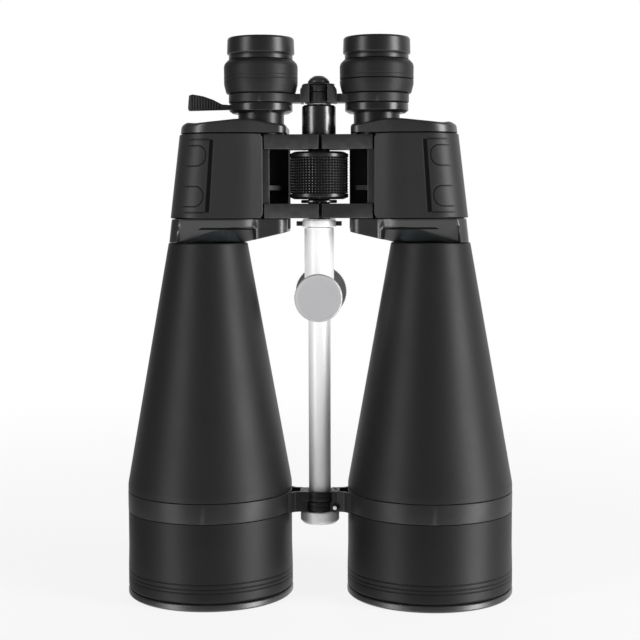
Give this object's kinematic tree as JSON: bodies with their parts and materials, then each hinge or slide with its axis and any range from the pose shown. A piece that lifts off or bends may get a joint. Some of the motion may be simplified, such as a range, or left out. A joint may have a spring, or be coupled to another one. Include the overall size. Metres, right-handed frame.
{
  "type": "astronomy binoculars",
  "caption": "Large zoom Porro-prism binoculars: two tapered barrels folding about a central rod, with focus wheel, zoom lever and sliding tripod clamp.",
  "frame": {"origin": "on the plane of the two objective rims that the object stands on, on the axis that both barrels fold about", "axes": "+Z from the objective rims to the eyecups, along both barrels; +X to the right-hand barrel seen from the clamp knob's side; +Y towards the tripod foot"},
  "size_m": [0.2172, 0.0932, 0.3099],
  "materials": {
    "black_coating": "fine matt powder coat",
    "black_armour": "moulded armour with a fine leather grain",
    "gloss_black": "satin-gloss lacquer",
    "black_rubber": "smooth satin rubber",
    "black_metal": "black anodised, satin",
    "dark_chrome": "dark chrome",
    "silver": "bright drawn aluminium",
    "brushed_silver": "sand-blasted aluminium",
    "glass": "coated optical glass",
    "spring_steel": "spring steel"
  },
  "bodies": {
    "centre": {"centre_rod": "silver", "rod_collar": "silver", "collar_pin": "black_metal", "hinge_tube": "black_metal", "focus_tube": "dark_chrome", "thrust_washer": "dark_chrome", "rod_end_cap": "silver"},
    "left_barrel": {"left_objective_rim": "gloss_black", "left_objective_hood": "black_coating", "left_objective_crown_lens": "glass", "left_objective_flint_lens": "glass", "left_barrel_cone": "black_coating", "left_front_bridge": "black_metal", "left_prism_housing": "gloss_black", "left_armour": "black_armour", "left_cover_plate": "gloss_black", "left_prism_shelf": "black_metal", "left_upper_prism": "glass", "left_lower_prism": "glass", "left_upper_prism_clip": "spring_steel", "left_lower_prism_clip": "spring_steel"},
    "right_barrel": {"right_objective_rim": "gloss_black", "right_objective_hood": "black_coating", "right_objective_crown_lens": "glass", "right_objective_flint_lens": "glass", "right_barrel_cone": "black_coating", "right_front_bridge": "black_metal", "right_prism_housing": "gloss_black", "right_armour": "black_armour", "right_cover_plate": "gloss_black", "right_prism_shelf": "black_metal", "right_upper_prism": "glass", "right_lower_prism": "glass", "right_upper_prism_clip": "spring_steel", "right_lower_prism_clip": "spring_steel"},
    "focus_wheel": {"focus_wheel": "black_metal"},
    "focus_carriage": {"focus_spindle": "silver", "focus_key": "spring_steel", "hub_washer": "black_metal", "hub_cap": "black_metal"},
    "left_eyepiece": {"left_eyepiece_tube": "black_metal", "left_bridge_arm": "black_metal", "left_eyepiece_grip": "black_rubber", "left_eyecup": "black_rubber", "left_eye_lens": "glass"},
    "right_eyepiece": {"right_eyepiece_tube": "black_metal", "right_bridge_arm": "black_metal", "right_eyepiece_grip": "black_rubber", "right_eyecup": "black_rubber"},
    "right_eye_lens": {"right_eye_lens": "glass"},
    "dioptre_ring": {"dioptre_ring": "black_rubber"},
    "left_zoom_ring": {"left_zoom_ring": "black_metal", "zoom_lever": "black_rubber"},
    "right_zoom_ring": {"right_zoom_ring": "black_metal"},
    "left_zoom_lens": {"left_zoom_lens": "glass"},
    "right_zoom_lens": {"right_zoom_lens": "glass"},
    "tripod_clamp": {"tripod_sleeve": "silver", "tripod_foot": "brushed_silver"},
    "clamp_knob": {"tripod_knob": "brushed_silver"}
  },
  "joints": [
    {"name": "left_barrel_fold", "type": "hinge", "parent": "centre", "child": "left_barrel", "pos_m": [0, 0, 0.21], "axis": [0, 0, -1], "range_deg": [0, 25]},
    {"name": "right_barrel_fold", "type": "hinge", "parent": "centre", "child": "right_barrel", "pos_m": [0, 0, 0.21], "axis": [0, 0, 1], "range_deg": [0, 25]},
    {"name": "focus_wheel_turn", "type": "hinge", "parent": "centre", "child": "focus_wheel", "pos_m": [0, 0, 0.234], "axis": [0, 0, 1], "range_deg": [0, 320]},
    {"name": "focus_carriage_lift", "type": "slide", "parent": "centre", "child": "focus_carriage", "axis": [0, 0, 1], "range_m": [0, 0.008]},
    {"name": "left_eyepiece_lift", "type": "slide", "parent": "left_barrel", "child": "left_eyepiece", "axis": [0, 0, 1], "range_m": [0, 0.008]},
    {"name": "right_eyepiece_lift", "type": "slide", "parent": "right_barrel", "child": "right_eyepiece", "axis": [0, 0, 1], "range_m": [0, 0.008]},
    {"name": "zoom_lever_turn", "type": "hinge", "parent": "left_eyepiece", "child": "left_zoom_ring", "pos_m": [-0.032, 0, 0.271], "axis": [0, 0, 1], "range_deg": [-40, 40]},
    {"name": "right_zoom_ring_turn", "type": "hinge", "parent": "right_eyepiece", "child": "right_zoom_ring", "pos_m": [0.032, 0, 0.271], "axis": [0, 0, 1], "range_deg": [-40, 40]},
    {"name": "left_zoom_lens_slide", "type": "slide", "parent": "left_eyepiece", "child": "left_zoom_lens", "axis": [0, 0, 1], "range_m": [-0.003, 0.003]},
    {"name": "right_zoom_lens_slide", "type": "slide", "parent": "right_eyepiece", "child": "right_zoom_lens", "axis": [0, 0, 1], "range_m": [-0.003, 0.003]},
    {"name": "dioptre_ring_turn", "type": "hinge", "parent": "right_eyepiece", "child": "dioptre_ring", "pos_m": [0.032, 0, 0.282], "axis": [0, 0, 1], "range_deg": [-60, 60]},
    {"name": "right_eye_lens_slide", "type": "slide", "parent": "right_eyepiece", "child": "right_eye_lens", "axis": [0, 0, 1], "range_m": [-0.001, 0.001]},
    {"name": "tripod_clamp_slide", "type": "slide", "parent": "centre", "child": "tripod_clamp", "axis": [0, 0, 1], "range_m": [-0.08, 0]},
    {"name": "clamp_knob_turn", "type": "hinge", "parent": "tripod_clamp", "child": "clamp_knob", "pos_m": [0, -0.018, 0.1675], "axis": [0, -1, 0], "range_deg": [0, 270]}
  ],
  "couplings": [
    {"joint": "right_barrel_fold", "follows": "left_barrel_fold", "ratio": 1},
    {"joint": "focus_carriage_lift", "follows": "focus_wheel_turn", "m_per_rad": 0.0014319},
    {"joint": "left_eyepiece_lift", "follows": "focus_wheel_turn", "m_per_rad": 0.0014319},
    {"joint": "right_eyepiece_lift", "follows": "focus_wheel_turn", "m_per_rad": 0.0014319},
    {"joint": "right_zoom_ring_turn", "follows": "zoom_lever_turn", "ratio": 1},
    {"joint": "left_zoom_lens_slide", "follows": "zoom_lever_turn", "m_per_rad": 0.0042967},
    {"joint": "right_zoom_lens_slide", "follows": "zoom_lever_turn", "m_per_rad": 0.0042967},
    {"joint": "right_eye_lens_slide", "follows": "dioptre_ring_turn", "m_per_rad": 0.0009544}
  ]
}
